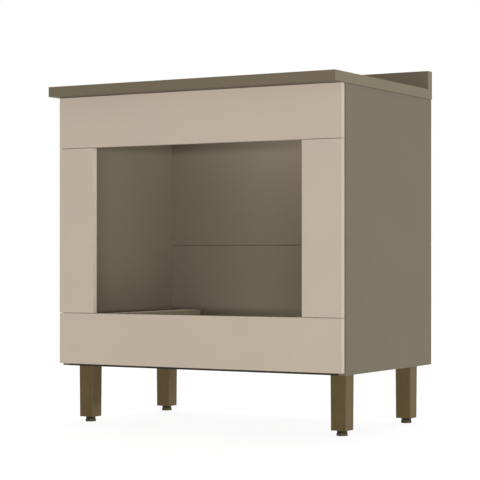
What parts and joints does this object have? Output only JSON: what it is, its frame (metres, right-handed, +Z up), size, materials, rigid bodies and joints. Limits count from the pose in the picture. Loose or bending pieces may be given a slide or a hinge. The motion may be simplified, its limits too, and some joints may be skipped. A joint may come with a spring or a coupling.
{
  "type": "oven base cabinet",
  "caption": "Free-standing oven base cabinet of flat boards: open oven niche in a pale front frame, taupe carcass, worktop with a low upstand, tapered legs with levelling feet.",
  "frame": {"origin": "on the floor, under the middle of the cabinet's overall width and depth", "axes": "+X to the right seen from the front, -Y to the front, +Z up"},
  "size_m": [0.806, 0.5514, 0.8937],
  "materials": {
    "carcass_board": "matt taupe melamine-faced particle board with matching edge tape",
    "front_board": "matt pinkish beige melamine-faced board with matching edge tape",
    "back_board": "thin hardboard with a taupe printed face and a raw brown rear face",
    "back_tape": "brown adhesive tape",
    "beech": "raw turned beech",
    "zinc_alloy": "die-cast zinc alloy",
    "zinc_plated_steel": "bright zinc plating",
    "soft_spacer": "soft grey elastomer",
    "leg_plastic": "moulded bronze-brown polypropylene, satin",
    "black_plastic": "moulded black plastic",
    "insert_brass": "turned brass"
  },
  "bodies": {
    "cabinet": {"left_side_panel": "carcass_board", "right_side_panel": "carcass_board", "base_panel": "carcass_board", "front_stretcher": "carcass_board", "rear_stretcher": "carcass_board", "worktop": "carcass_board", "upstand": "carcass_board", "left_oven_rest": "carcass_board", "right_oven_rest": "carcass_board", "left_rest_upright": "carcass_board", "right_rest_upright": "carcass_board", "bottom_rail": "front_board", "top_rail": "front_board", "left_stile": "front_board", "right_stile": "front_board", "lower_back_panel": "back_board", "upper_back_panel": "back_board", "back_seam_tape": "back_tape", "dowels": "beech", "cam_locks": "zinc_alloy", "cam_bolts": "zinc_plated_steel", "worktop_screws": "zinc_plated_steel", "upstand_screws": "zinc_plated_steel", "oven_rest_screws": "zinc_plated_steel", "rest_upright_screws": "zinc_plated_steel", "leg_plate_screws": "zinc_plated_steel", "leg_screws": "zinc_plated_steel", "front_brackets": "zinc_plated_steel", "bracket_screws": "zinc_plated_steel", "joining_plates": "zinc_plated_steel", "joining_plate_screws": "zinc_plated_steel", "back_nails": "zinc_plated_steel", "front_spacers": "soft_spacer", "front_left_leg": "leg_plastic", "front_right_leg": "leg_plastic", "rear_left_leg": "leg_plastic", "rear_right_leg": "leg_plastic", "front_left_leg_plate": "black_plastic", "front_right_leg_plate": "black_plastic", "rear_left_leg_plate": "black_plastic", "rear_right_leg_plate": "black_plastic", "front_left_threaded_insert": "insert_brass", "front_right_threaded_insert": "insert_brass", "rear_left_threaded_insert": "insert_brass", "rear_right_threaded_insert": "insert_brass"},
    "front_left_pad": {"front_left_foot_pad": "black_plastic"},
    "front_left_screw": {"front_left_foot_collar": "black_plastic", "front_left_foot_stud": "zinc_plated_steel"},
    "front_right_pad": {"front_right_foot_pad": "black_plastic"},
    "front_right_screw": {"front_right_foot_collar": "black_plastic", "front_right_foot_stud": "zinc_plated_steel"},
    "rear_left_pad": {"rear_left_foot_pad": "black_plastic"},
    "rear_left_screw": {"rear_left_foot_collar": "black_plastic", "rear_left_foot_stud": "zinc_plated_steel"},
    "rear_right_pad": {"rear_right_foot_pad": "black_plastic"},
    "rear_right_screw": {"rear_right_foot_collar": "black_plastic", "rear_right_foot_stud": "zinc_plated_steel"}
  },
  "joints": [
    {"name": "front_left_foot_height", "type": "slide", "parent": "cabinet", "child": "front_left_pad", "axis": [0, 0, -1], "range_m": [0, 0.015]},
    {"name": "front_left_foot_turn", "type": "hinge", "parent": "front_left_pad", "child": "front_left_screw", "pos_m": [-0.3595, -0.1537, 0], "axis": [0, 0, -1], "range_deg": [0, 4320.01]},
    {"name": "front_right_foot_height", "type": "slide", "parent": "cabinet", "child": "front_right_pad", "axis": [0, 0, -1], "range_m": [0, 0.015]},
    {"name": "front_right_foot_turn", "type": "hinge", "parent": "front_right_pad", "child": "front_right_screw", "pos_m": [0.3595, -0.1537, 0], "axis": [0, 0, -1], "range_deg": [0, 4320.01]},
    {"name": "rear_left_foot_height", "type": "slide", "parent": "cabinet", "child": "rear_left_pad", "axis": [0, 0, -1], "range_m": [0, 0.015]},
    {"name": "rear_left_foot_turn", "type": "hinge", "parent": "rear_left_pad", "child": "rear_left_screw", "pos_m": [-0.3595, 0.2093, 0], "axis": [0, 0, -1], "range_deg": [0, 4320.01]},
    {"name": "rear_right_foot_height", "type": "slide", "parent": "cabinet", "child": "rear_right_pad", "axis": [0, 0, -1], "range_m": [0, 0.015]},
    {"name": "rear_right_foot_turn", "type": "hinge", "parent": "rear_right_pad", "child": "rear_right_screw", "pos_m": [0.3595, 0.2093, 0], "axis": [0, 0, -1], "range_deg": [0, 4320.01]}
  ],
  "couplings": [
    {"joint": "front_left_foot_turn", "follows": "front_left_foot_height", "rad_per_m": 5026.5},
    {"joint": "front_right_foot_turn", "follows": "front_right_foot_height", "rad_per_m": 5026.5},
    {"joint": "rear_left_foot_turn", "follows": "rear_left_foot_height", "rad_per_m": 5026.5},
    {"joint": "rear_right_foot_turn", "follows": "rear_right_foot_height", "rad_per_m": 5026.5}
  ]
}
